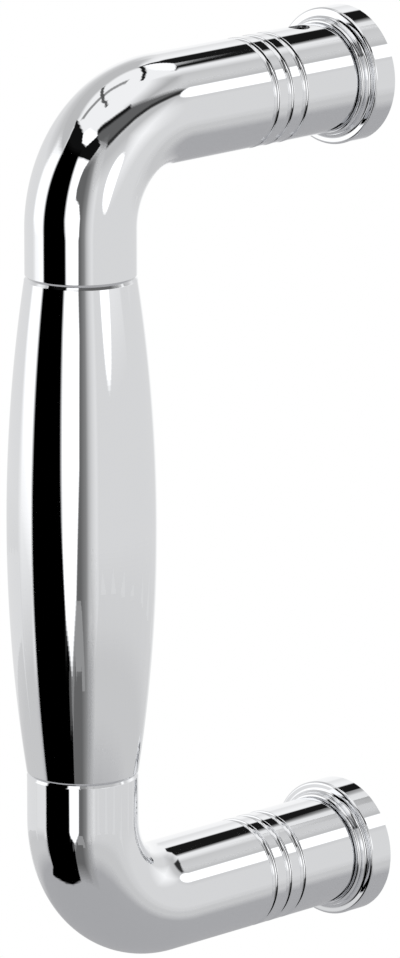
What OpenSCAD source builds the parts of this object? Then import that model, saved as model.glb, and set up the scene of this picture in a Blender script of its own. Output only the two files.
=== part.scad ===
// Door pull handle: a barrel grip between two bent stems that stand on stepped round roses.
// Z is up and the door face is the plane Y = 0, with the handle at negative Y.
// The origin is on the door face, midway between the two fixings. All sizes are in millimetres.

/* [Handle] */
// Distance between the two fixings, centre to centre (6 inches)
fixing_centres = 152.4; // [140:0.1:320]
// Distance from the door face to the axis of the grip
axis_out = 70.4; // [66:0.1:90]
// Diameter of the round stem
stem_d = 21; // [19:0.1:24]
// Radius of the bend, on the centre line of the stem
bend_r = 19.6; // [16:0.1:24]
// Straight stretch of stem between the bend and the grip
elbow_run = 9; // [6:0.1:14]

/* [Grip] */
// Diameter of the barrel half way up
grip_mid_d = 28.2; // [25:0.1:34]
// Chamfer on both sides of the joint, which shows as a hairline
joint_chamfer = 0.25; // [0.1:0.05:0.6]

/* [Grooves] */
// Number of turned grooves in each arm
groove_count = 3; // [1:1:4]
// Distance from the door face to the middle of the first groove
groove_first = 21.5; // [18:0.1:24]
// Distance between two grooves
groove_pitch = 3.85; // [2.5:0.05:4.5]
// Width of a groove at the surface of the stem
groove_w = 1.5; // [0.8:0.1:2]
// Depth of a groove
groove_depth = 0.6; // [0.3:0.05:1]

/* [Rose] */
// Diameter of the rose
rose_d = 26.2; // [25:0.1:34]
// Thickness of the rose, from the door face to its flat front
rose_t = 5.1; // [3.8:0.1:6.5]
// Distance from the flat front of the rose to the end of the stem
neck_h = 2.1; // [1.8:0.1:4]
// Diameter of the recess between the rose and the stem
neck_d = 19.5; // [19.1:0.1:20.2]
// Diameter of the bead, across its crest
bead_d = 22.2; // [21.6:0.1:22.8]
// Thickness of the bead
bead_t = 1.2; // [0.8:0.1:1.4]
// Diameter of the step that the bead stands on
step_d = 22.4; // [22:0.1:22.9]
// Radius of the hollow between the flat front and that step
cove_r = 0.75; // [0.4:0.05:0.9]
// Radius on the front edge of the rose
rose_edge_r = 0.5; // [0.2:0.1:1]
// Radius on the end of the stem
foot_edge_r = 0.6; // [0.2:0.1:0.8]

/* [Spigot] */
// Diameter of the post that the stem slides over
spigot_d = 12; // [11:0.1:13]
// Length of the post, from the door face
spigot_l = 20; // [18:0.1:30]
// Diameter of the flange on the door
flange_d = 18; // [16:0.1:19]
// Thickness of the flange
flange_t = 2; // [1.2:0.1:2.6]
// Diameter of the threaded hole for the door bolt
bolt_d = 6; // [5:0.5:6]
// Depth of the full thread in that hole
bolt_depth = 13; // [9:0.1:15]
// Depth of the notch that the grub screw bites into
notch_depth = 0.8; // [0.4:0.1:1.2]

/* [Screws and studs] */
// Diameter of the grub screw
grub_d = 4; // [3:0.5:5]
// Distance from the door face to the axis of the grub screw
grub_out = 12.6; // [11:0.1:15]
// Depth of the grub screw below the surface of the stem
grub_sunk = 0.35; // [0.2:0.05:0.8]
// Width of the hexagonal socket in the grub screw, across its flats
grub_hex = 2; // [1.3:0.1:2.2]
// Depth of that socket
grub_hex_depth = 2; // [1.2:0.1:2.4]
// Diameter of the stud that joins an elbow to the grip
stud_d = 8; // [6:0.5:10]
// Length of the stud
stud_l = 26; // [20:1:28]
// Width of the hexagonal socket in the stud, across its flats
stud_hex = 4; // [2.5:0.5:4]
// Depth of that socket
stud_hex_depth = 4; // [2:0.5:5]
// Chamfer on the ends of the studs and of the post
end_chamfer = 0.6; // [0.3:0.1:0.8]

/* [Clearances] */
// Gap all round between a thread or a post and its hole
fit_gap = 0.05; // [0.02:0.01:0.1]
// Space left past the end of a post or a stud in its hole
end_gap = 0.6; // [0.3:0.1:1]

/* [Hidden] */
$fn = 96;
// Angle of the cone that a drill leaves at the bottom of a hole
drill_point = 118;
stem_r = stem_d / 2;
stem_end = rose_t + neck_h;
arm_l = axis_out - bend_r - stem_end;
grip_half = fixing_centres / 2 - bend_r - elbow_run;
grip_swell = (grip_mid_d - stem_d) / 2;
grip_arc_r = (pow(grip_half, 2) + pow(grip_swell, 2)) / (2 * grip_swell);
groove_r = (pow(groove_w / 2, 2) + pow(groove_depth, 2)) / (2 * groove_depth);
bead_r = bead_t / 2;
// Share of the bead's radius that shows below its middle, above the step
bead_sink = 0.6;
// The bead stands in the middle of the neck, and the cove runs up to its foot
bead_out = rose_t + neck_h / 2;
bead_ring_r = bead_d / 2 - bead_r;
step_out = bead_out - bead_r * bead_sink;
notch_r = spigot_d / 2 - notch_depth;
grub_tip = notch_r + fit_gap;
grub_top = stem_r - grub_sunk;
// A cut reaches this far past the surface that it opens
past = 1;
// The straight stretches of stem reach this far into the bend, on a core this much narrower
tail = 1;

// Places a piece that is turned about its local Z at the upper fixing.
// There local Z points out of the door, and local Y points up.
module at_fixing() {
    translate([0, 0, fixing_centres / 2]) rotate([90, 0, 0]) children();
}

// Repeats an upper piece at the lower fixing, as its mirror image
module below() {
    mirror([0, 0, 1]) children();
}

// Places a piece on the axis of the grip, at the upper joint
module at_joint() {
    translate([0, -axis_out, grip_half]) children();
}

// The corner that a round edge takes off a profile. The corner is at (x, y), and the profile lies
// on its left, above it for side = 1 and below it for side = -1.
module edge_round_cut(x, y, r, side) {
    difference() {
        translate([x - r, side > 0 ? y - past : y - r]) square([r + past, r + past]);
        translate([x - r, y + side * r]) circle(r = r);
    }
}

// The corner that a chamfer takes off a profile whose upper right corner is at (x, y)
module chamfer_cut(x, y, c) {
    polygon([[x - c, y], [x + c, y - 2 * c], [x + c, y + past], [x - c, y + past]]);
}

// A drilled hole: a round wall of length l from z = 0, with the drill's cone past it
module drilled(d, l) {
    translate([0, 0, -past]) cylinder(h = l + past, d = d);
    translate([0, 0, l]) cylinder(h = d / 2 / tan(drill_point / 2), d1 = d, d2 = 0);
}

// A hexagonal socket, cut down from z = 0
module hex_socket(flats, depth) {
    translate([0, 0, -depth]) cylinder(h = depth + past, d = flats / cos(30), $fn = 6);
}

// The barrel: its side is one arc, between ends as wide as the stem
module grip_body() {
    rotate_extrude() difference() {
        intersection() {
            translate([grip_mid_d / 2 - grip_arc_r, 0]) circle(r = grip_arc_r, $fn = 720);
            translate([0, -grip_half]) square([grip_mid_d, 2 * grip_half]);
        }
        chamfer_cut(stem_r, grip_half, joint_chamfer);
        mirror([0, 1]) chamfer_cut(stem_r, grip_half, joint_chamfer);
    }
}

// Hole for half of a joint stud, cut from z = 0 upwards
module stud_hole() {
    drilled(stud_d + 2 * fit_gap, stud_l / 2 + end_gap);
}

module grip() {
    color("silver") difference() {
        translate([0, -axis_out, 0]) grip_body();
        at_joint() mirror([0, 0, 1]) stud_hole();
        below() at_joint() mirror([0, 0, 1]) stud_hole();
    }
}

// The straight arm of the stem, with its round end and its turned grooves
module arm() {
    rotate_extrude() difference() {
        union() {
            translate([0, stem_end]) square([stem_r, arm_l]);
            translate([0, stem_end]) square([stem_r - tail, arm_l + tail]);
        }
        edge_round_cut(stem_r, stem_end, foot_edge_r, 1);
        for (i = [0 : groove_count - 1])
            translate([stem_r + groove_r - groove_depth, groove_first + i * groove_pitch])
                circle(r = groove_r);
    }
}

// The quarter bend, from the end of the arm down to the straight stretch above the grip
module bend() {
    translate([0, -bend_r, stem_end + arm_l]) rotate([90, 0, 90])
        rotate_extrude(angle = 90) translate([bend_r, 0]) circle(r = stem_r);
}

// The straight stretch above the grip, with the chamfer at the joint
module run() {
    translate([0, -bend_r, axis_out]) rotate([90, 0, 0]) rotate_extrude() difference() {
        union() {
            square([stem_r, elbow_run]);
            translate([0, -tail]) square([stem_r - tail, elbow_run + tail]);
        }
        chamfer_cut(stem_r, elbow_run, joint_chamfer);
    }
}

module elbow() {
    difference() {
        at_fixing() difference() {
            union() {
                arm();
                bend();
                run();
            }
            translate([0, 0, stem_end])
                drilled(spigot_d + 2 * fit_gap, spigot_l + end_gap - stem_end);
            translate([0, 0, grub_out]) rotate([-90, 0, 0])
                cylinder(h = stem_r + past, d = grub_d + 2 * fit_gap);
        }
        at_joint() stud_hole();
    }
}

module upper_elbow() {
    color("silver") elbow();
}

module lower_elbow() {
    color("silver") below() elbow();
}

// The outline of the rose: a thick disc, a cove, a bead and a recessed neck
module rose_profile() {
    difference() {
        square([rose_d / 2, rose_t]);
        edge_round_cut(rose_d / 2, rose_t, rose_edge_r, -1);
    }
    difference() {
        square([step_d / 2 + cove_r, step_out]);
        translate([step_d / 2 + cove_r, rose_t + cove_r]) circle(r = cove_r);
    }
    translate([bead_ring_r, bead_out]) circle(r = bead_r);
    square([neck_d / 2, stem_end]);
}

module rose() {
    at_fixing() difference() {
        rotate_extrude() intersection() {
            rose_profile();
            square([rose_d, rose_d]);
        }
        translate([0, 0, -past]) cylinder(h = stem_end + 2 * past, d = spigot_d + 2 * fit_gap);
        translate([0, 0, -past]) cylinder(h = past + flange_t + fit_gap, d = flange_d + 2 * fit_gap);
    }
}

module upper_rose() {
    color("silver") rose();
}

module lower_rose() {
    color("silver") below() rose();
}

// The post that is bolted to the door: a flange, a round post and the notch for the grub screw
module spigot() {
    at_fixing() difference() {
        rotate_extrude() polygon([
            [0, 0],
            [flange_d / 2, 0],
            [flange_d / 2, flange_t],
            [spigot_d / 2, flange_t],
            [spigot_d / 2, grub_out - notch_depth],
            [notch_r, grub_out],
            [spigot_d / 2, grub_out + notch_depth],
            [spigot_d / 2, spigot_l - end_chamfer],
            [spigot_d / 2 - end_chamfer, spigot_l],
            [0, spigot_l]
        ]);
        drilled(bolt_d, bolt_depth);
    }
}

module upper_spigot() {
    color("goldenrod") spigot();
}

module lower_spigot() {
    color("goldenrod") below() spigot();
}

// The threaded stud that joins an elbow to the grip, with a socket for the key in its lower end
module joint_stud() {
    at_joint() difference() {
        rotate_extrude() polygon([
            [0, -stud_l / 2],
            [stud_d / 2 - end_chamfer, -stud_l / 2],
            [stud_d / 2, end_chamfer - stud_l / 2],
            [stud_d / 2, stud_l / 2 - end_chamfer],
            [stud_d / 2 - end_chamfer, stud_l / 2],
            [0, stud_l / 2]
        ]);
        translate([0, 0, -stud_l / 2]) mirror([0, 0, 1]) hex_socket(stud_hex, stud_hex_depth);
    }
}

module upper_joint_stud() {
    color("dimgray") joint_stud();
}

module lower_joint_stud() {
    color("dimgray") below() joint_stud();
}

// The grub screw: a threaded plug with a cone point, in the side of the stem away from the grip
module grub_screw() {
    at_fixing() translate([0, 0, grub_out]) rotate([-90, 0, 0]) difference() {
        rotate_extrude() polygon([
            [0, grub_tip],
            [notch_depth, grub_tip + notch_depth],
            [grub_d / 2, grub_tip + notch_depth + grub_d / 2 - notch_depth],
            [grub_d / 2, grub_top],
            [0, grub_top]
        ]);
        translate([0, 0, grub_top]) hex_socket(grub_hex, grub_hex_depth);
    }
}

module upper_grub_screw() {
    color("dimgray") grub_screw();
}

module lower_grub_screw() {
    color("dimgray") below() grub_screw();
}

grip();
upper_elbow();
lower_elbow();
upper_rose();
lower_rose();
upper_spigot();
lower_spigot();
upper_joint_stud();
lower_joint_stud();
upper_grub_screw();
lower_grub_screw();
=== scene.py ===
"""Dresses the chrome door pull handle: mirror plated skins, screws, and the studio that they reflect.

The frame holds every piece at its real place and size. Here each visible piece is turned from a finely
stepped outline, so that its reflections run smoothly, and each hidden piece gets its own finish.
"""

import math

import bmesh
import bpy
from mathutils import Matrix, Vector


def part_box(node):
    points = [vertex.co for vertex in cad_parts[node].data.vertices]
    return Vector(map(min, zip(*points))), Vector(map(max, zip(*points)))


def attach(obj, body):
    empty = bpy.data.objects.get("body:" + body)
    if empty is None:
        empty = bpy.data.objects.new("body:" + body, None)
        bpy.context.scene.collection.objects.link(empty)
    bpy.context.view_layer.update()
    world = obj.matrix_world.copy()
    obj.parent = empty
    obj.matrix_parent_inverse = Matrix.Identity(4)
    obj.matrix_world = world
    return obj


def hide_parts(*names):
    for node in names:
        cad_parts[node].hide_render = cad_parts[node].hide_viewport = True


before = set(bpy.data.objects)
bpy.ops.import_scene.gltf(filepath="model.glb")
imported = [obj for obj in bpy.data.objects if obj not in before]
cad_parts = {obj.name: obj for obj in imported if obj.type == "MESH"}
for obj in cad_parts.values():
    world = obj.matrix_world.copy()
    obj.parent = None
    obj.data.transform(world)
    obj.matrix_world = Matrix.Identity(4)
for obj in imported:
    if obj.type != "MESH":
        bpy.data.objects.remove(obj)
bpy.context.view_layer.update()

bl_info = {
    "name": "Door Pull Handle",
    "version": (1, 0, 0),
    "blender": (4, 5, 0),
    "location": "3D View > Sidebar > Handle",
    "description": "Turned and bent chrome pull handle with roses, grub screws and posts",
    "category": "Object",
}

MM = 0.001
BODY = "root"
# Steps round a visible turned piece. Its normals are shaded smoothly between them
SKIN_SEGMENTS = 192
# Steps round a small or hidden turned piece
SMALL_SEGMENTS = 96
# A corner sharper than this stays a crisp edge
SHARP_ANGLE = math.radians(28)
# Points closer than this are one point
WELD = 1e-7
# Angle of the cone that a drill leaves at the bottom of a hole, in degrees
DRILL_POINT = 118
# Distance from a corner within which smooth shading may turn away from a flat side
HOLD = 0.05 * MM
# Height between two cards that lie on the floor, for each metre between their distances
CARD_LIFT = 0.02


def box_size(node, axis):
    """The extent of a node of the frame along one axis, in metres."""
    low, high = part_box(node)
    return high[axis] - low[axis]


def box_middle(node, axis):
    low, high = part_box(node)
    return (low[axis] + high[axis]) / 2


def length(name, description, default):
    """A size in metres, as a property that a user can change."""
    return bpy.props.FloatProperty(
        name=name, description=description, default=default, precision=5, subtype="DISTANCE", unit="LENGTH"
    )


def colour(name, description, code):
    """A colour property. Its default is written as an sRGB hex value."""
    return bpy.props.FloatVectorProperty(
        name=name, description=description, default=linear(code), size=4, subtype="COLOR", min=0, max=1
    )


def linear(code):
    """Turns an sRGB hex value such as #E0E2E4 to a linear colour."""
    channels = [int(code[i : i + 2], 16) / 255 for i in (1, 3, 5)]
    return (*[c / 12.92 if c <= 0.04045 else ((c + 0.055) / 1.055) ** 2.4 for c in channels], 1.0)


class HandleSizes(bpy.types.PropertyGroup):
    """Sizes of the turned and bent pieces. Those that the frame shows are read from it."""

    fixing_centres: length(
        "Fixing centres", "Distance between the axes of the two arms",
        box_middle("upper_rose", 2) - box_middle("lower_rose", 2),
    )
    axis_out: length("Grip axis", "Distance from the door face to the axis of the grip", -box_middle("grip", 1))
    stem_d: length("Stem diameter", "Diameter of the round stem", box_size("upper_elbow", 0))
    bend_r: length("Bend radius", "Radius of the bend on the stem's centre line", 19.6 * MM)
    grip_mid_d: length("Grip diameter", "Diameter of the barrel half way up", box_size("grip", 0))
    grip_l: length("Grip length", "Length of the barrel", box_size("grip", 2))
    joint_chamfer: length("Joint chamfer", "Chamfer on both sides of a joint", 0.25 * MM)
    groove_count: bpy.props.IntProperty(name="Grooves", description="Turned grooves in each arm", default=3)
    groove_first: length("First groove", "From the door face to the middle of the first groove", 21.5 * MM)
    groove_pitch: length("Groove pitch", "Distance between two grooves", 3.85 * MM)
    groove_w: length("Groove width", "Width of a groove at the skin of the stem", 1.5 * MM)
    groove_depth: length("Groove depth", "Depth of a groove", 0.6 * MM)
    groove_lip: length("Groove lip", "Radius that polishing leaves on the lips of a groove", 0.15 * MM)
    foot_edge_r: length("Foot radius", "Radius on the end of the stem", 0.6 * MM)
    rose_d: length("Rose diameter", "Diameter of the rose", box_size("upper_rose", 0))
    rose_t: length("Rose thickness", "From the door face to the flat front of the rose", 5.1 * MM)
    stem_end: length("Stem end", "From the door face to the end of the stem", -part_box("upper_rose")[0][1])
    neck_d: length("Neck diameter", "Diameter of the recess between rose and stem", 19.5 * MM)
    bead_d: length("Bead diameter", "Diameter of the bead across its crest", 22.2 * MM)
    bead_t: length("Bead thickness", "Thickness of the bead", 1.2 * MM)
    step_d: length("Step diameter", "Diameter of the step that the bead stands on", 22.4 * MM)
    cove_r: length("Cove radius", "Radius of the hollow between flat front and step", 0.75 * MM)
    rose_edge_r: length("Rim radius", "Radius on the front edge of the rose", 0.5 * MM)
    flange_d: length("Flange recess", "Diameter of the recess in the back of the rose", 18.1 * MM)
    flange_t: length("Flange recess depth", "Depth of the recess in the back of the rose", 2.05 * MM)
    post_hole_d: length("Post hole", "Diameter of the bore that takes the post", 12.1 * MM)
    post_hole_l: length("Post hole depth", "From the door face to the end of that bore", 20.6 * MM)
    stud_hole_d: length("Stud hole", "Diameter of the bore that takes the joint stud", 8.1 * MM)
    stud_hole_l: length("Stud hole depth", "Depth of that bore from the joint", 13.6 * MM)
    grub_out: length("Grub screw", "From the door face to the axis of the grub screw", 12.6 * MM)
    grub_hole_d: length("Grub hole", "Diameter of the hole in the stem", 4.1 * MM)


class HandleFinishes(bpy.types.PropertyGroup):
    """Colours of the finishes."""

    chrome: colour("Chrome", "Polished chrome plate", "#EFF0F2")
    brass: colour("Brass", "Turned brass, unplated", "#C9A263")
    black_oxide: colour("Black oxide", "Chemically blackened steel", "#232326")
    worn_steel: colour("Worn steel", "Steel where the black oxide is rubbed thin", "#6A6A6E")


class StudioSettings(bpy.types.PropertyGroup):
    """Camera and surroundings."""

    distance: length("Camera distance", "From the point looked at to the camera", 1.55127)
    azimuth: bpy.props.FloatProperty(
        name="Azimuth", description="Turn of the camera from the front of the door towards +X",
        default=math.radians(44.7743), subtype="ANGLE",
    )
    elevation: bpy.props.FloatProperty(
        name="Elevation", description="Height of the camera above the horizon",
        default=math.radians(13.8502), subtype="ANGLE",
    )
    target: bpy.props.FloatVectorProperty(
        name="Target", description="Point that the camera looks at",
        default=(-2.42 * MM, -36.69 * MM, 2.62 * MM), subtype="TRANSLATION",
    )
    lens: bpy.props.FloatProperty(name="Lens", description="Focal length in millimetres", default=307.97)
    floor_drop: length("Floor drop", "Height of the handle's middle above the floor", 1.0)
    floor_radius: length("Floor radius", "Radius of the round floor", 2.75)
    floor_near: colour("Floor", "Floor below the handle", "#ACACAE")
    floor_far: colour("Floor edge", "Floor at its edge", "#CDCDCF")


# Cards of the studio, as the handle sees them. A corner is (turn, rise) in degrees: turn goes from the
# camera's side round to the left of the picture, and rise is above the horizon. Glow is what a
# card sends out, where 1 is the white of the surroundings. Soft is the width of its faded edge.
# Nearer cards hide farther ones.
CARDS = [
    # name, glow, soft, distance, corners
    ("haze_right", 0.76, 12, 3.30, [(-158, -24), (-20, -24), (-20, 34), (-158, 34)]),
    ("haze_right_high", 0.57, 14, 3.25, [(-150, 24), (-20, 20), (-14, 40), (-150, 42)]),
    ("haze_left", 0.80, 10, 3.30, [(108, -24), (165, -24), (165, 38), (108, 38)]),
    ("haze_left_high", 0.62, 14, 3.25, [(112, 24), (180, 20), (180, 40), (112, 40)]),
    ("horizon_left", 0.64, 9, 3.20, [(84, -32), (150, -32), (158, -17), (84, -17)]),
    ("horizon_right", 0.64, 9, 3.20, [(-160, -32), (-16, -32), (-16, -19), (-165, -19)]),
    ("grey_ceiling_left", 0.56, 5, 3.10, [(80, 36), (180, 32), (180, 54), (150, 57), (104, 54), (86, 46)]),
    ("soft_glow_behind", 1.10, 14, 3.05, [(-130, 4), (-112, 4), (-112, 18), (-130, 18)]),
    ("soft_glow_right", 1.05, 16, 3.05, [(-78, 4), (-60, 4), (-60, 20), (-78, 20)]),
    ("ceiling_shade", 0.50, 16, 3.00, [(-128, 44), (-60, 44), (-50, 60), (-110, 60)]),
    ("dark_ceiling", 0.13, 6, 2.90, [
        (-98, 31), (-87, 32), (-69, 37), (-55, 39), (-38, 39), (-24, 37), (-12, 42), (8, 50), (8, 60),
        (-24, 61), (-49, 60), (-62, 54), (-76, 46), (-90, 38),
    ]),
    ("dim_front", 0.32, 16, 2.90, [(-14, -42), (18, -42), (18, 40), (-14, 40)]),
    ("dark_front", 0.14, 12, 2.80, [(-4, -42), (22, -42), (22, 36), (-4, 36)]),
    ("black_flag_low", 0.0, 1.5, 2.60, [
        (18, -48), (29, -50), (42, -51.5), (60, -50), (76, -46), (89, -42), (79, -38), (79, -10), (18, -10),
    ]),
    ("black_ceiling", 0.006, 1.5, 2.50, [
        (-9, 43), (-2, 48), (6, 53), (15, 51), (25, 48), (33, 50.5), (42, 53), (51, 56), (64, 57), (82, 56),
        (95, 53.5), (103, 51), (92, 50), (84, 45.5), (79, 38), (34, 40), (20, 38.5), (5.5, 35.5), (-4, 40),
    ]),
    ("key_softbox", 1.30, 1.6, 2.30, [
        (6, 36), (20, 39.5), (36, 41), (36, 0), (31, -12), (25, -20), (17, -24), (9, -18), (4, -8),
        (3.5, 2), (8, 10), (16, 14), (17, 20), (15, 27), (12, 32),
    ]),
    ("black_flag", 0.0, 4.5, 2.20, [(33, 44), (33, 2), (30, -12), (27, -30), (80, -30), (79.5, 44)]),
    ("ceiling_wedge", 1.20, 1.2, 2.10, [
        (5.5, 53.5), (25, 48), (40, 50.5), (52, 56), (48, 59), (40, 61), (30, 60), (15, 57),
    ]),
    ("side_softbox", 1.22, 6, 2.40, [(81, 35), (90, 34), (104, 28), (109, 18), (109, -4), (102, -10), (81, -14)]),
    ("dark_box_behind", 0.03, 3, 2.60, [(-134, 45), (-124, 43), (-108, 34), (-110, 31), (-133, 33)]),
    ("dark_corner_behind", 0.01, 2, 2.60, [
        (-180, 53), (-155, 45), (-133, 53), (-133, 51), (-155, 41), (-161, 31), (-168, 30), (-170, 44),
    ]),
    ("panel_behind", 1.15, 1.2, 2.40, [(-178, 53), (-156, 45), (-133, 52), (-140, 58), (-150, 61), (-163, 60)]),
]

# Round lamps of the studio: name, glow, distance, middle, half width and half height in degrees
LAMPS = [
    ("round_lamp_right", 1.4, 2.30, (-46.7, 7.8), 10.5, 10.5),
    ("round_lamp_behind", 1.4, 2.30, (-98, 27), 11, 7),
]

# Seams between the ceiling's panels: name, glow, width in degrees, distance, line
SEAMS = [
    ("seam_long", 0.10, 2.4, 2.30, [(35, 78), (75, 79), (115, 72), (130, 65), (143, 57)]),
    ("seam_cross", 0.30, 5.0, 2.40, [(89, 58), (105, 66), (122, 71), (150, 75), (180, 76)]),
    ("seam_behind", 0.01, 2.6, 2.30, [(-180, 52), (-168, 62), (-149, 70), (-127, 74)]),
    ("dark_ceiling_edge", 0.03, 4.5, 2.70, [(-97, 30.5), (-80, 34.5), (-69, 38), (-55, 40), (-38, 40), (-22, 38.5)]),
    ("dark_ceiling_top", 0.01, 6.0, 2.70, [(-50, 59), (-24, 60), (0, 59), (10, 56)]),
]


def add_node(tree, kind, settings=None, **inputs):
    """Adds a node. An input is a value, or an output socket to link; a trailing number picks by place."""
    node = tree.nodes.new(kind)
    for name, value in (settings or {}).items():
        setattr(node, name, value)
    for name, value in inputs.items():
        key = int(name[6:]) if name.startswith("input_") else name.replace("_", " ")
        if isinstance(value, bpy.types.NodeSocket):
            tree.links.new(value, node.inputs[key])
        else:
            node.inputs[key].default_value = value
    return node


def new_tree(name, sockets):
    """Starts a geometry tree with named inputs, and returns it with its group input's outputs."""
    tree = bpy.data.node_groups.new(name, "GeometryNodeTree")
    tree.interface.new_socket("Geometry", in_out="INPUT", socket_type="NodeSocketGeometry")
    for socket, kind in sockets:
        tree.interface.new_socket(socket, in_out="INPUT", socket_type=kind)
    tree.interface.new_socket("Geometry", in_out="OUTPUT", socket_type="NodeSocketGeometry")
    return tree, tree.nodes.new("NodeGroupInput").outputs


def end_tree(tree, geometry, material):
    """Ends a tree in a plain, smoothly shaded mesh that wears one material."""
    shaded = add_node(tree, "GeometryNodeSetShadeSmooth", Geometry=geometry)
    plain = add_node(tree, "GeometryNodeRealizeInstances", Geometry=shaded.outputs[0])
    dressed = add_node(tree, "GeometryNodeSetMaterial", Geometry=plain.outputs[0], Material=material)
    add_node(tree, "NodeGroupOutput", Geometry=dressed.outputs[0])


def turned_tree():
    """A lathe: turns an outline of (radius, height) points about the Z axis."""
    tree, given = new_tree("Turned Body", [
        ("Segments", "NodeSocketInt"), ("Material", "NodeSocketMaterial"),
    ])
    outline = add_node(tree, "GeometryNodeMeshToCurve", Mesh=given["Geometry"])
    # The lathe stands on its head, so the outline goes in upside down, less the radius that carries it
    inner = add_node(tree, "GeometryNodeTransform", Geometry=outline.outputs[0], Translation=(-LATHE_CORE, 0, 0),
                     Scale=(1, -1, 1))
    circle = add_node(tree, "GeometryNodeCurvePrimitiveCircle", Resolution=given["Segments"], Radius=LATHE_CORE)
    upright = add_node(tree, "GeometryNodeSetCurveNormal", {"mode": "Z_UP"}, Curve=circle.outputs[0])
    skin = add_node(tree, "GeometryNodeCurveToMesh", Curve=upright.outputs[0], Profile_Curve=inner.outputs[0])
    welded = add_node(tree, "GeometryNodeMergeByDistance", Geometry=skin.outputs[0], Distance=WELD)
    end_tree(tree, welded.outputs[0], given["Material"])
    return tree


# Radius of the circle that the lathe carries an outline round
LATHE_CORE = 1 * MM


def bend_tree():
    """A bender: rolls a bar that stands on Z through a quarter turn in the YZ plane, towards -Y."""
    tree, given = new_tree("Quarter Bend", [
        ("Bend Start", "NodeSocketFloat"), ("Bend Radius", "NodeSocketFloat"), ("Bore Radius", "NodeSocketFloat"),
        ("Material", "NodeSocketMaterial"),
    ])
    place = add_node(tree, "GeometryNodeInputPosition")
    at = add_node(tree, "ShaderNodeSeparateXYZ", Vector=place.outputs[0])
    past = add_node(tree, "ShaderNodeMath", {"operation": "SUBTRACT"}, input_0=at.outputs["Z"], input_1=given["Bend Start"])
    turn = add_node(tree, "ShaderNodeMath", {"operation": "DIVIDE"}, input_0=past.outputs[0], input_1=given["Bend Radius"])
    turn = add_node(tree, "ShaderNodeClamp", Value=turn.outputs[0], Min=0.0, Max=math.pi / 2)
    # A bore is drilled after the bending, so its wall stays straight and goes with the far end
    across = add_node(tree, "ShaderNodeCombineXYZ", X=at.outputs["X"], Y=at.outputs["Y"])
    off_axis = add_node(tree, "ShaderNodeVectorMath", {"operation": "LENGTH"}, Vector=across.outputs[0])
    inside = add_node(tree, "ShaderNodeMath", {"operation": "LESS_THAN"}, input_0=off_axis.outputs["Value"], input_1=given["Bore Radius"])
    beyond = add_node(tree, "ShaderNodeMath", {"operation": "GREATER_THAN"}, input_0=past.outputs[0], input_1=0.0)
    drilled = add_node(tree, "ShaderNodeMath", {"operation": "MULTIPLY"}, input_0=inside.outputs[0], input_1=beyond.outputs[0])
    drilled = add_node(tree, "ShaderNodeMath", {"operation": "MULTIPLY"}, input_0=drilled.outputs[0], input_1=math.pi / 2)
    turn = add_node(tree, "ShaderNodeMath", {"operation": "MAXIMUM"}, input_0=turn.outputs[0], input_1=drilled.outputs[0])
    rolled = add_node(tree, "ShaderNodeMath", {"operation": "MULTIPLY"}, input_0=turn.outputs[0], input_1=given["Bend Radius"])
    straight = add_node(tree, "ShaderNodeMath", {"operation": "SUBTRACT"}, input_0=past.outputs[0], input_1=rolled.outputs[0])
    # The bend's middle lies on the -Y side, and the skin stands off it by the bend radius plus its own Y
    reach = add_node(tree, "ShaderNodeMath", {"operation": "ADD"}, input_0=at.outputs["Y"], input_1=given["Bend Radius"])
    sine = add_node(tree, "ShaderNodeMath", {"operation": "SINE"}, input_0=turn.outputs[0])
    cosine = add_node(tree, "ShaderNodeMath", {"operation": "COSINE"}, input_0=turn.outputs[0])
    out_y = add_node(tree, "ShaderNodeMath", {"operation": "MULTIPLY"}, input_0=reach.outputs[0], input_1=cosine.outputs[0])
    out_z = add_node(tree, "ShaderNodeMath", {"operation": "MULTIPLY"}, input_0=reach.outputs[0], input_1=sine.outputs[0])
    run_y = add_node(tree, "ShaderNodeMath", {"operation": "MULTIPLY"}, input_0=straight.outputs[0], input_1=sine.outputs[0])
    run_z = add_node(tree, "ShaderNodeMath", {"operation": "MULTIPLY"}, input_0=straight.outputs[0], input_1=cosine.outputs[0])
    y = add_node(tree, "ShaderNodeMath", {"operation": "SUBTRACT"}, input_0=out_y.outputs[0], input_1=run_y.outputs[0])
    y = add_node(tree, "ShaderNodeMath", {"operation": "SUBTRACT"}, input_0=y.outputs[0], input_1=given["Bend Radius"])
    z = add_node(tree, "ShaderNodeMath", {"operation": "ADD"}, input_0=out_z.outputs[0], input_1=run_z.outputs[0])
    z = add_node(tree, "ShaderNodeMath", {"operation": "ADD"}, input_0=z.outputs[0], input_1=given["Bend Start"])
    bent = add_node(tree, "ShaderNodeCombineXYZ", X=at.outputs["X"], Y=y.outputs[0], Z=z.outputs[0])
    moved = add_node(tree, "GeometryNodeSetPosition", Geometry=given["Geometry"], Position=bent.outputs[0])
    end_tree(tree, moved.outputs[0], given["Material"])
    return tree


def set_input(modifier, name, value):
    """Sets a modifier's input by its socket's identifier."""
    for item in modifier.node_group.interface.items_tree:
        if item.in_out == "INPUT" and item.name == name:
            modifier[item.identifier] = value


def plain_mesh(obj, name):
    """Replaces an object by the mesh that its modifiers make of it."""
    depsgraph = bpy.context.evaluated_depsgraph_get()
    mesh = bpy.data.meshes.new_from_object(obj.evaluated_get(depsgraph), depsgraph=depsgraph)
    bpy.data.objects.remove(obj)
    return new_object(name, mesh)


def new_object(name, mesh):
    mesh.name = name
    obj = bpy.data.objects.new(name, mesh)
    bpy.context.scene.collection.objects.link(obj)
    return obj


def held(outline):
    """Adds a point just inside both ends of each long straight line, which keeps its shading straight."""
    points = [outline[0]]
    for start, end in zip(outline, outline[1:]):
        line = Vector(end) - Vector(start)
        if line.length > 4 * HOLD:
            step = line.normalized() * HOLD
            points += [tuple(Vector(start) + step), tuple(Vector(end) - step)]
        points.append(end)
    return points


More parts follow.
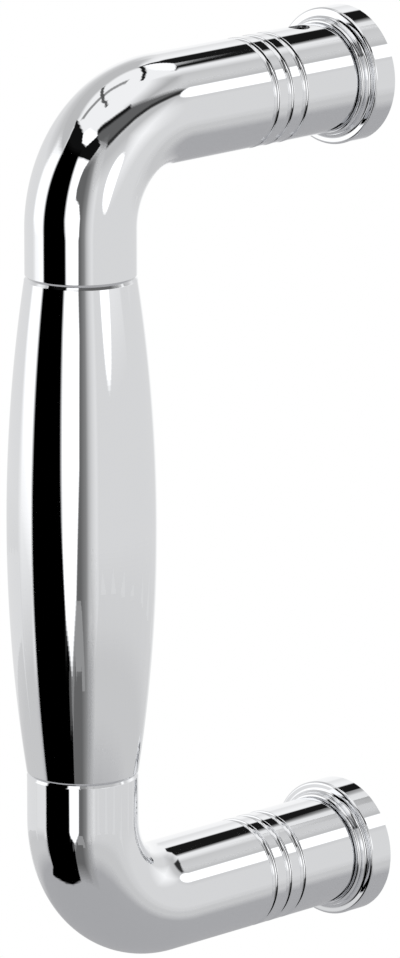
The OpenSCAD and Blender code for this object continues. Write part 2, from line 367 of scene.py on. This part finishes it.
def turn(name, outline, segments, material, bend=None):
    """Turns a piece about Z from its outline, and rolls it through a quarter bend where one is given."""
    mesh = bpy.data.meshes.new(name)
    points = [(radius, height, 0.0) for radius, height in held(outline)]
    mesh.from_pydata(points, [(i, i + 1) for i in range(len(points) - 1)], [])
    obj = new_object(name, mesh)
    lathe = obj.modifiers.new("Turn", "NODES")
    lathe.node_group = bpy.data.node_groups.get("Turned Body") or turned_tree()
    set_input(lathe, "Segments", segments)
    set_input(lathe, "Material", material)
    if bend:
        bender = obj.modifiers.new("Bend", "NODES")
        bender.node_group = bpy.data.node_groups.get("Quarter Bend") or bend_tree()
        set_input(bender, "Bend Start", bend[0])
        set_input(bender, "Bend Radius", bend[1])
        set_input(bender, "Bore Radius", bend[2])
        set_input(bender, "Material", material)
    return plain_mesh(obj, name)


def tidy_faces(mesh):
    """Welds the poles, drops what has no area and turns every face outwards."""
    work = bmesh.new()
    work.from_mesh(mesh)
    bmesh.ops.remove_doubles(work, verts=work.verts, dist=WELD)
    bmesh.ops.dissolve_degenerate(work, edges=work.edges, dist=WELD)
    bmesh.ops.recalc_face_normals(work, faces=work.faces)
    work.to_mesh(mesh)
    work.free()


def drill(obj, cutter):
    """Cuts a hole in a piece, and deletes the cutter."""
    hole = obj.modifiers.new("Drill", "BOOLEAN")
    hole.operation = "DIFFERENCE"
    hole.solver = "EXACT"
    hole.object = cutter
    drilled = plain_mesh(obj, obj.name + "_drilled")
    bpy.data.objects.remove(cutter)
    return drilled


def finish_piece(obj, node, mirrored):
    """Marks crisp edges and puts a piece in the frame in its node's place, and its mirror image too."""
    twins = [(obj, "upper_" + node if mirrored else node)]
    if mirrored:
        copy = new_object("lower_" + node + "_skin", obj.data.copy())
        copy.data.transform(Matrix.Scale(-1, 4, (0, 0, 1)))
        tidy_faces(copy.data)
        twins.append((copy, "lower_" + node))
    for piece, name in twins:
        piece.name = name + "_skin"
        piece.data.name = piece.name
        piece.data.set_sharp_from_angle(angle=SHARP_ANGLE)
        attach(piece, BODY)
        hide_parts(name)


def arc(centre, radius, start, end, steps):
    """Points of an arc in an outline, from one angle to another, in degrees."""
    angles = [math.radians(start + (end - start) * i / steps) for i in range(steps + 1)]
    return [(centre[0] + radius * math.cos(a), centre[1] + radius * math.sin(a)) for a in angles]


def groove(sizes, height):
    """The outline of one turned groove, with the radius that polishing leaves on its lips."""
    stem_r = sizes.stem_d / 2
    tool_r = ((sizes.groove_w / 2) ** 2 + sizes.groove_depth**2) / (2 * sizes.groove_depth)
    middle = (stem_r + tool_r - sizes.groove_depth, height)
    across = tool_r - sizes.groove_depth + sizes.groove_lip
    along = math.sqrt((tool_r + sizes.groove_lip) ** 2 - across**2)
    slope = math.degrees(math.atan2(along, across))
    lower_lip = arc((stem_r - sizes.groove_lip, height - along), sizes.groove_lip, 0, slope, 5)
    hollow = arc(middle, tool_r, 180 + slope, 180 - slope, 16)
    upper_lip = arc((stem_r - sizes.groove_lip, height + along), sizes.groove_lip, -slope, 0, 5)
    return lower_lip + hollow[1:-1] + upper_lip


def stem_outline(sizes):
    """The bar that an elbow is bent from, as it leaves the lathe: foot, grooves, plain skin, chamfer."""
    stem_r = sizes.stem_d / 2
    bend_start = sizes.axis_out - sizes.bend_r
    bend_l = sizes.bend_r * math.pi / 2
    joint = bend_start + bend_l + sizes.fixing_centres / 2 - sizes.bend_r - sizes.grip_l / 2
    points = bore(sizes.post_hole_d, sizes.post_hole_l, sizes.stem_end, 1)
    points += arc((stem_r - sizes.foot_edge_r, sizes.stem_end + sizes.foot_edge_r), sizes.foot_edge_r, -90, 0, 8)
    for i in range(sizes.groove_count):
        points += groove(sizes, sizes.groove_first + i * sizes.groove_pitch)
    steps = 72
    points += [(stem_r, bend_start + bend_l * i / steps) for i in range(steps + 1)]
    points += [(stem_r, joint - sizes.joint_chamfer * 2), (stem_r - sizes.joint_chamfer, joint)]
    points += bore(sizes.stud_hole_d, joint - sizes.stud_hole_l, joint, -1)[::-1]
    return points


def barrel_outline(sizes):
    """The grip: its side is one arc between ends as wide as the stem."""
    half = sizes.grip_l / 2
    end_r = sizes.stem_d / 2
    swell = (sizes.grip_mid_d - sizes.stem_d) / 2
    side_r = (half**2 + swell**2) / (2 * swell)
    chamfer = sizes.joint_chamfer
    reach = math.degrees(math.asin((half - 2 * chamfer) / side_r))
    side = arc((sizes.grip_mid_d / 2 - side_r, 0), side_r, -reach, reach, 96)
    low_end = bore(sizes.stud_hole_d, sizes.stud_hole_l - half, -half, 1)
    high_end = bore(sizes.stud_hole_d, half - sizes.stud_hole_l, half, -1)[::-1]
    return [*low_end, (end_r - chamfer, -half), *side, (end_r - chamfer, half), *high_end]


def rose_outline(sizes):
    """The rose: recess for the flange, flat back, rounded rim, flat front, cove, bead and neck."""
    rose_r = sizes.rose_d / 2
    rim = sizes.rose_edge_r
    bead_r = sizes.bead_t / 2
    bead_out = (sizes.rose_t + sizes.stem_end) / 2
    bead_middle = (sizes.bead_d / 2 - bead_r, bead_out)
    step_r = sizes.step_d / 2
    step_out = bead_out - bead_r * 0.6
    cove_middle = (step_r + sizes.cove_r, sizes.rose_t + sizes.cove_r)
    cove_end = math.degrees(math.asin((cove_middle[1] - step_out) / sizes.cove_r))
    bead_side = math.degrees(math.asin(-0.6))
    hole_r = sizes.post_hole_d / 2
    points = [(hole_r, sizes.flange_t), (sizes.flange_d / 2, sizes.flange_t), (sizes.flange_d / 2, 0), (rose_r, 0)]
    points += arc((rose_r - rim, sizes.rose_t - rim), rim, 0, 90, 8)
    points += arc(cove_middle, sizes.cove_r, 270, 180 + cove_end, 10)
    points += arc(bead_middle, bead_r, bead_side, 180 - bead_side, 24)
    points += [(sizes.neck_d / 2, step_out), (sizes.neck_d / 2, sizes.stem_end), (hole_r, sizes.stem_end), (hole_r, sizes.flange_t)]
    return points


def bore(diameter, bottom, mouth, way):
    """The outline of a drilled bore: tip of the drill's cone, bottom of the wall, mouth. Way is +1 upwards."""
    radius = diameter / 2
    cone = radius / math.tan(math.radians(DRILL_POINT / 2))
    return [(0, bottom + way * cone), (radius, bottom), (radius, mouth)]


def chrome(finishes):
    """Polished chrome plate, electroplated on a buffed body.

    A mirror with a slightly cool tint. Buffing leaves faint, fine haze in patches, which softens the
    edges of reflections a little here and there.
    """
    material = bpy.data.materials.new("polished chrome plate")
    material.use_nodes = True
    tree = material.node_tree
    tree.nodes.clear()
    place = add_node(tree, "ShaderNodeTexCoord")
    # Patches of haze are about 8 mm across
    haze = add_node(tree, "ShaderNodeTexNoise", Vector=place.outputs["Object"], Scale=1 / (8 * MM), Detail=2.0)
    rough = add_node(tree, "ShaderNodeMapRange", Value=haze.outputs["Fac"], From_Min=0.3, From_Max=0.7,
                     To_Min=0.012, To_Max=0.035)
    shader = add_node(tree, "ShaderNodeBsdfPrincipled", Base_Color=finishes.chrome, Metallic=1.0,
                      Roughness=rough.outputs[0])
    add_node(tree, "ShaderNodeOutputMaterial", Surface=shader.outputs[0])
    return material


def in_frame(obj, sizes):
    """Lays a piece that was turned about Z on the axis of the upper fixing, standing out of the door."""
    obj.data.transform(Matrix.Translation((0, 0, sizes.fixing_centres / 2)) @ Matrix.Rotation(math.pi / 2, 4, "X"))


class HANDLE_OT_elbows(bpy.types.Operator):
    """Turn, bend and drill the two elbows"""

    bl_idname = "handle.elbows"
    bl_label = "Elbows"

    def execute(self, context):
        sizes = context.scene.handle_sizes
        material = get_material("polished chrome plate")
        bend = (sizes.axis_out - sizes.bend_r, sizes.bend_r, sizes.stud_hole_d * 0.51)
        # The bender rolls towards -Y, which is down once the arm stands out of the door
        obj = turn("elbow", stem_outline(sizes), SKIN_SEGMENTS, material, bend)
        tidy_faces(obj.data)
        in_frame(obj, sizes)
        radius = sizes.grub_hole_d / 2
        key = turn("cut", [(0, 0), (radius, 0), (radius, sizes.stem_d), (0, sizes.stem_d)], SMALL_SEGMENTS, material)
        key.data.transform(Matrix.Translation((0, -sizes.grub_out, sizes.fixing_centres / 2)))
        tidy_faces(key.data)
        obj = drill(obj, key)
        finish_piece(obj, "elbow", True)
        return {"FINISHED"}


class HANDLE_OT_grip(bpy.types.Operator):
    """Turn the barrel grip"""

    bl_idname = "handle.grip"
    bl_label = "Grip"

    def execute(self, context):
        sizes = context.scene.handle_sizes
        material = get_material("polished chrome plate")
        obj = turn("grip_bar", barrel_outline(sizes), SKIN_SEGMENTS, material)
        tidy_faces(obj.data)
        obj.data.transform(Matrix.Translation((0, -sizes.axis_out, 0)))
        finish_piece(obj, "grip", False)
        return {"FINISHED"}


class HANDLE_OT_roses(bpy.types.Operator):
    """Turn the two roses"""

    bl_idname = "handle.roses"
    bl_label = "Roses"

    def execute(self, context):
        sizes = context.scene.handle_sizes
        obj = turn("rose", rose_outline(sizes), SKIN_SEGMENTS, get_material("polished chrome plate"))
        tidy_faces(obj.data)
        in_frame(obj, sizes)
        finish_piece(obj, "rose", True)
        return {"FINISHED"}


def get_material(name):
    """The material of that name, made on its first use."""
    return bpy.data.materials.get(name) or MATERIALS[name](bpy.context.scene.handle_finishes)


def black_oxide(finishes):
    """Black oxide on machined steel: a thin dark conversion layer, satin, rubbed paler in places."""
    material = bpy.data.materials.new("black oxide steel")
    material.use_nodes = True
    tree = material.node_tree
    tree.nodes.clear()
    place = add_node(tree, "ShaderNodeTexCoord")
    rub = add_node(tree, "ShaderNodeTexNoise", Vector=place.outputs["Object"], Scale=1 / (1.5 * MM), Detail=4.0)
    share = add_node(tree, "ShaderNodeMapRange", Value=rub.outputs["Fac"], From_Min=0.5, From_Max=0.8)
    tint = add_node(tree, "ShaderNodeMix", {"data_type": "RGBA"}, input_0=share.outputs[0],
                    input_6=finishes.black_oxide, input_7=finishes.worn_steel)
    shader = add_node(tree, "ShaderNodeBsdfPrincipled", Base_Color=tint.outputs[2], Metallic=1.0, Roughness=0.38)
    add_node(tree, "ShaderNodeOutputMaterial", Surface=shader.outputs[0])
    return material


def turned_brass(finishes):
    """Free cutting brass as it leaves the lathe: warm yellow, with fine rings left by the tool."""
    material = bpy.data.materials.new("turned brass")
    material.use_nodes = True
    tree = material.node_tree
    tree.nodes.clear()
    place = add_node(tree, "ShaderNodeTexCoord")
    # The tool's feed is about 0.1 mm a turn, drawn at 0.25 mm so that it shows
    rings = add_node(tree, "ShaderNodeTexWave", {"bands_direction": "Y"}, Vector=place.outputs["Object"],
                     Scale=1 / (0.25 * MM) / 20 * math.pi)
    bump = add_node(tree, "ShaderNodeBump", Strength=0.3, Distance=0.02 * MM, Height=rings.outputs["Fac"])
    shader = add_node(tree, "ShaderNodeBsdfPrincipled", Base_Color=finishes.brass, Metallic=1.0, Roughness=0.25,
                      Normal=bump.outputs[0])
    add_node(tree, "ShaderNodeOutputMaterial", Surface=shader.outputs[0])
    return material


MATERIALS = {
    "polished chrome plate": chrome,
    "black oxide steel": black_oxide,
    "turned brass": turned_brass,
}


class HANDLE_OT_fixings(bpy.types.Operator):
    """Dress the posts, the joint studs and the grub screws"""

    bl_idname = "handle.fixings"
    bl_label = "Fixings"

    def execute(self, context):
        for end in ("upper_", "lower_"):
            for node, name in (("spigot", "turned brass"), ("joint_stud", "black oxide steel"),
                               ("grub_screw", "black oxide steel")):
                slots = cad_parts[end + node].material_slots
                slots[0].material = get_material(name)
        return {"FINISHED"}


def direction(turn_degrees, rise_degrees):
    """The direction from the handle to a point of the studio."""
    studio = bpy.context.scene.handle_studio
    around = studio.azimuth - math.radians(turn_degrees)
    rise = math.radians(rise_degrees)
    return Vector((math.sin(around) * math.cos(rise), -math.cos(around) * math.cos(rise), math.sin(rise)))


def studio_point(corner, distance):
    """A point of a card. A card that would reach through the floor lies on it instead."""
    way = direction(*corner)
    # Where cards overlap on the floor, the nearer one lies on top
    drop = bpy.context.scene.handle_studio.floor_drop - CARD_LIFT * (4 - distance)
    if way.z < 0:
        distance = min(distance, drop / -way.z)
    return way * distance


def offset(corners, by):
    """Moves each corner of a flat outline outwards by a distance, or inwards where it is negative."""
    area = sum(a[0] * b[1] - b[0] * a[1] for a, b in zip(corners, corners[1:] + corners[:1]))
    side = 1 if area > 0 else -1
    moved = []
    for i, corner in enumerate(corners):
        here = Vector(corner)
        before = (here - Vector(corners[i - 1])).normalized()
        after = (Vector(corners[(i + 1) % len(corners)]) - here).normalized()
        normals = [Vector((edge.y, -edge.x)) * side for edge in (before, after)]
        miter = (normals[0] + normals[1]) / max(0.4, 1 + normals[0].dot(normals[1]))
        moved.append(tuple(here + miter * by))
    return moved


def make_card(name, glow, soft, distance, corners):
    """Makes a card with a faded edge, and hides it from the camera."""
    work = bmesh.new()
    cover = work.verts.layers.float.new("cover")
    rings = []
    for by, share in ((soft / 2, 0.0), (-soft / 2, 1.0)):
        ring = [work.verts.new((*corner, 0)) for corner in offset(corners, by)]
        for vert in ring:
            vert[cover] = share
        rings.append(ring)
    outer, inner = rings
    for i in range(len(outer)):
        j = (i + 1) % len(outer)
        work.faces.new((outer[i], outer[j], inner[j], inner[i]))
    work.faces.new(inner)
    bmesh.ops.triangulate(work, faces=work.faces)
    for _ in range(3):
        bmesh.ops.subdivide_edges(work, edges=work.edges, cuts=1, use_grid_fill=True)
    for vert in work.verts:
        vert.co = studio_point((vert.co.x, vert.co.y), distance)
    mesh = bpy.data.meshes.new(name)
    work.to_mesh(mesh)
    work.free()
    level = mesh.attributes.new("glow", "FLOAT", "POINT")
    level.data.foreach_set("value", [glow] * len(mesh.vertices))
    mesh.materials.append(bpy.data.materials.get("studio card") or card_material())
    card = new_object(name, mesh)
    card.visible_camera = False
    card.visible_shadow = False
    card.visible_diffuse = False


def card_material():
    """Card, cloth or diffuser of the studio: sends out its glow evenly, and fades out at its edge."""
    material = bpy.data.materials.new("studio card")
    material.use_nodes = True
    tree = material.node_tree
    tree.nodes.clear()
    cover = add_node(tree, "ShaderNodeAttribute", {"attribute_name": "cover"})
    glow = add_node(tree, "ShaderNodeAttribute", {"attribute_name": "glow"})
    clear = add_node(tree, "ShaderNodeBsdfTransparent")
    light = add_node(tree, "ShaderNodeEmission", Strength=glow.outputs["Fac"])
    mix = add_node(tree, "ShaderNodeMixShader", input_0=cover.outputs["Fac"], input_1=clear.outputs[0],
                   input_2=light.outputs[0])
    add_node(tree, "ShaderNodeOutputMaterial", Surface=mix.outputs[0])
    return material


def floor_material(studio):
    """Matt painted floor, pale grey below the handle and nearly white at its edge."""
    material = bpy.data.materials.new("matt floor paint")
    material.use_nodes = True
    tree = material.node_tree
    tree.nodes.clear()
    place = add_node(tree, "ShaderNodeTexCoord")
    out = add_node(tree, "ShaderNodeVectorMath", {"operation": "LENGTH"}, Vector=place.outputs["Object"])
    share = add_node(tree, "ShaderNodeMapRange", {"interpolation_type": "SMOOTHSTEP"}, Value=out.outputs["Value"],
                     From_Min=studio.floor_radius * 0.5, From_Max=studio.floor_radius)
    paint = add_node(tree, "ShaderNodeMix", {"data_type": "RGBA"}, input_0=share.outputs[0],
                     input_6=studio.floor_near, input_7=studio.floor_far)
    shader = add_node(tree, "ShaderNodeBsdfPrincipled", Base_Color=paint.outputs[2], Roughness=0.9)
    # The rim fades into the surroundings, and the underside is clear, so no view is blocked
    rim = add_node(tree, "ShaderNodeMapRange", {"interpolation_type": "SMOOTHSTEP"}, Value=out.outputs["Value"],
                   From_Min=studio.floor_radius * 0.8, From_Max=studio.floor_radius)
    side = add_node(tree, "ShaderNodeNewGeometry")
    gone = add_node(tree, "ShaderNodeMath", {"operation": "MAXIMUM"}, input_0=rim.outputs[0],
                    input_1=side.outputs["Backfacing"])
    clear = add_node(tree, "ShaderNodeBsdfTransparent")
    mix = add_node(tree, "ShaderNodeMixShader", input_0=gone.outputs[0], input_1=shader.outputs[0],
                   input_2=clear.outputs[0])
    add_node(tree, "ShaderNodeOutputMaterial", Surface=mix.outputs[0])
    return material


class HANDLE_OT_studio(bpy.types.Operator):
    """Set up the camera, the floor, the cards and the pale surroundings"""

    bl_idname = "handle.studio"
    bl_label = "Studio"

    def execute(self, context):
        scene = context.scene
        studio = scene.handle_studio
        scene.view_settings.view_transform = "Standard"
        self.make_camera(scene, studio)
        self.make_floor(studio)
        for card in CARDS:
            make_card(*card)
        for name, glow, distance, middle, half_width, half_height in LAMPS:
            ring = arc((0, 0), 1, 0, 360 - 360 / 24, 23)
            make_card(name, glow, 1.5, distance,
                      [(middle[0] + half_width * x, middle[1] + half_height * y) for x, y in ring])
        for name, glow, width, distance, line in SEAMS:
            make_card(name, glow, width / 2, distance, seam_corners(line, width))
        world = bpy.data.worlds.new("white surroundings")
        scene.world = world
        world.use_nodes = True
        world.node_tree.nodes.clear()
        sky = add_node(world.node_tree, "ShaderNodeBackground", Color=(1, 1, 1, 1), Strength=1.0)
        add_node(world.node_tree, "ShaderNodeOutputWorld", Surface=sky.outputs[0])
        return {"FINISHED"}

    def make_camera(self, scene, studio):
        """Puts the camera at the photograph's viewing angle."""
        camera = bpy.data.objects.new("camera", bpy.data.cameras.new("camera"))
        scene.collection.objects.link(camera)
        scene.camera = camera
        back = direction(0, math.degrees(studio.elevation))
        camera.location = Vector(studio.target) + back * studio.distance
        camera.rotation_mode = "QUATERNION"
        camera.rotation_quaternion = (-back).to_track_quat("-Z", "Y")
        camera.data.lens = studio.lens
        camera.data.clip_end = 50

    def make_floor(self, studio):
        """Makes the round floor below the handle."""
        mesh = bpy.data.meshes.new("floor")
        work = bmesh.new()
        bmesh.ops.create_circle(work, cap_ends=True, segments=96, radius=studio.floor_radius)
        work.to_mesh(mesh)
        work.free()
        mesh.materials.append(floor_material(studio))
        floor = new_object("floor", mesh)
        floor.location.z = -studio.floor_drop


def seam_corners(line, width):
    """The outline of a thin band along a line of directions."""
    sides = []
    for side in (1, -1):
        edge = []
        for i, point in enumerate(line):
            before = Vector(line[max(i - 1, 0)])
            after = Vector(line[min(i + 1, len(line) - 1)])
            along = after - before
            # A degree of turn is shorter than a degree of rise, high above the horizon
            squeeze = math.cos(math.radians(point[1]))
            normal = Vector((-along.y, along.x * squeeze * squeeze)).normalized()
            reach = width / 2 / math.hypot(normal.x * squeeze, normal.y)
            edge.append(tuple(Vector(point) + normal * reach * side))
        sides.append(edge)
    return sides[0] + sides[1][::-1]


class HANDLE_PT_panel(bpy.types.Panel):
    """Lists the handle's operators and sizes"""

    bl_label = "Door Pull Handle"
    bl_space_type = "VIEW_3D"
    bl_region_type = "UI"
    bl_category = "Handle"

    def draw(self, context):
        for step in STEPS:
            self.layout.operator("handle." + step)
        for group in (context.scene.handle_sizes, context.scene.handle_finishes, context.scene.handle_studio):
            for name in group.__annotations__:
                self.layout.prop(group, name)


STEPS = ("elbows", "grip", "roses", "fixings", "studio")
CLASSES = (
    HandleSizes, HandleFinishes, StudioSettings, HANDLE_OT_elbows, HANDLE_OT_grip, HANDLE_OT_roses,
    HANDLE_OT_fixings, HANDLE_OT_studio, HANDLE_PT_panel,
)
GROUPS = {"handle_sizes": HandleSizes, "handle_finishes": HandleFinishes, "handle_studio": StudioSettings}


def register():
    for cls in CLASSES:
        bpy.utils.register_class(cls)
    for name, group in GROUPS.items():
        setattr(bpy.types.Scene, name, bpy.props.PointerProperty(type=group))


def unregister():
    for name in GROUPS:
        delattr(bpy.types.Scene, name)
    for cls in reversed(CLASSES):
        bpy.utils.unregister_class(cls)


def main():
    """Builds every piece in order."""
    register()
    for step in STEPS:
        getattr(bpy.ops.handle, step)()


if __name__ == "__main__":
    main()
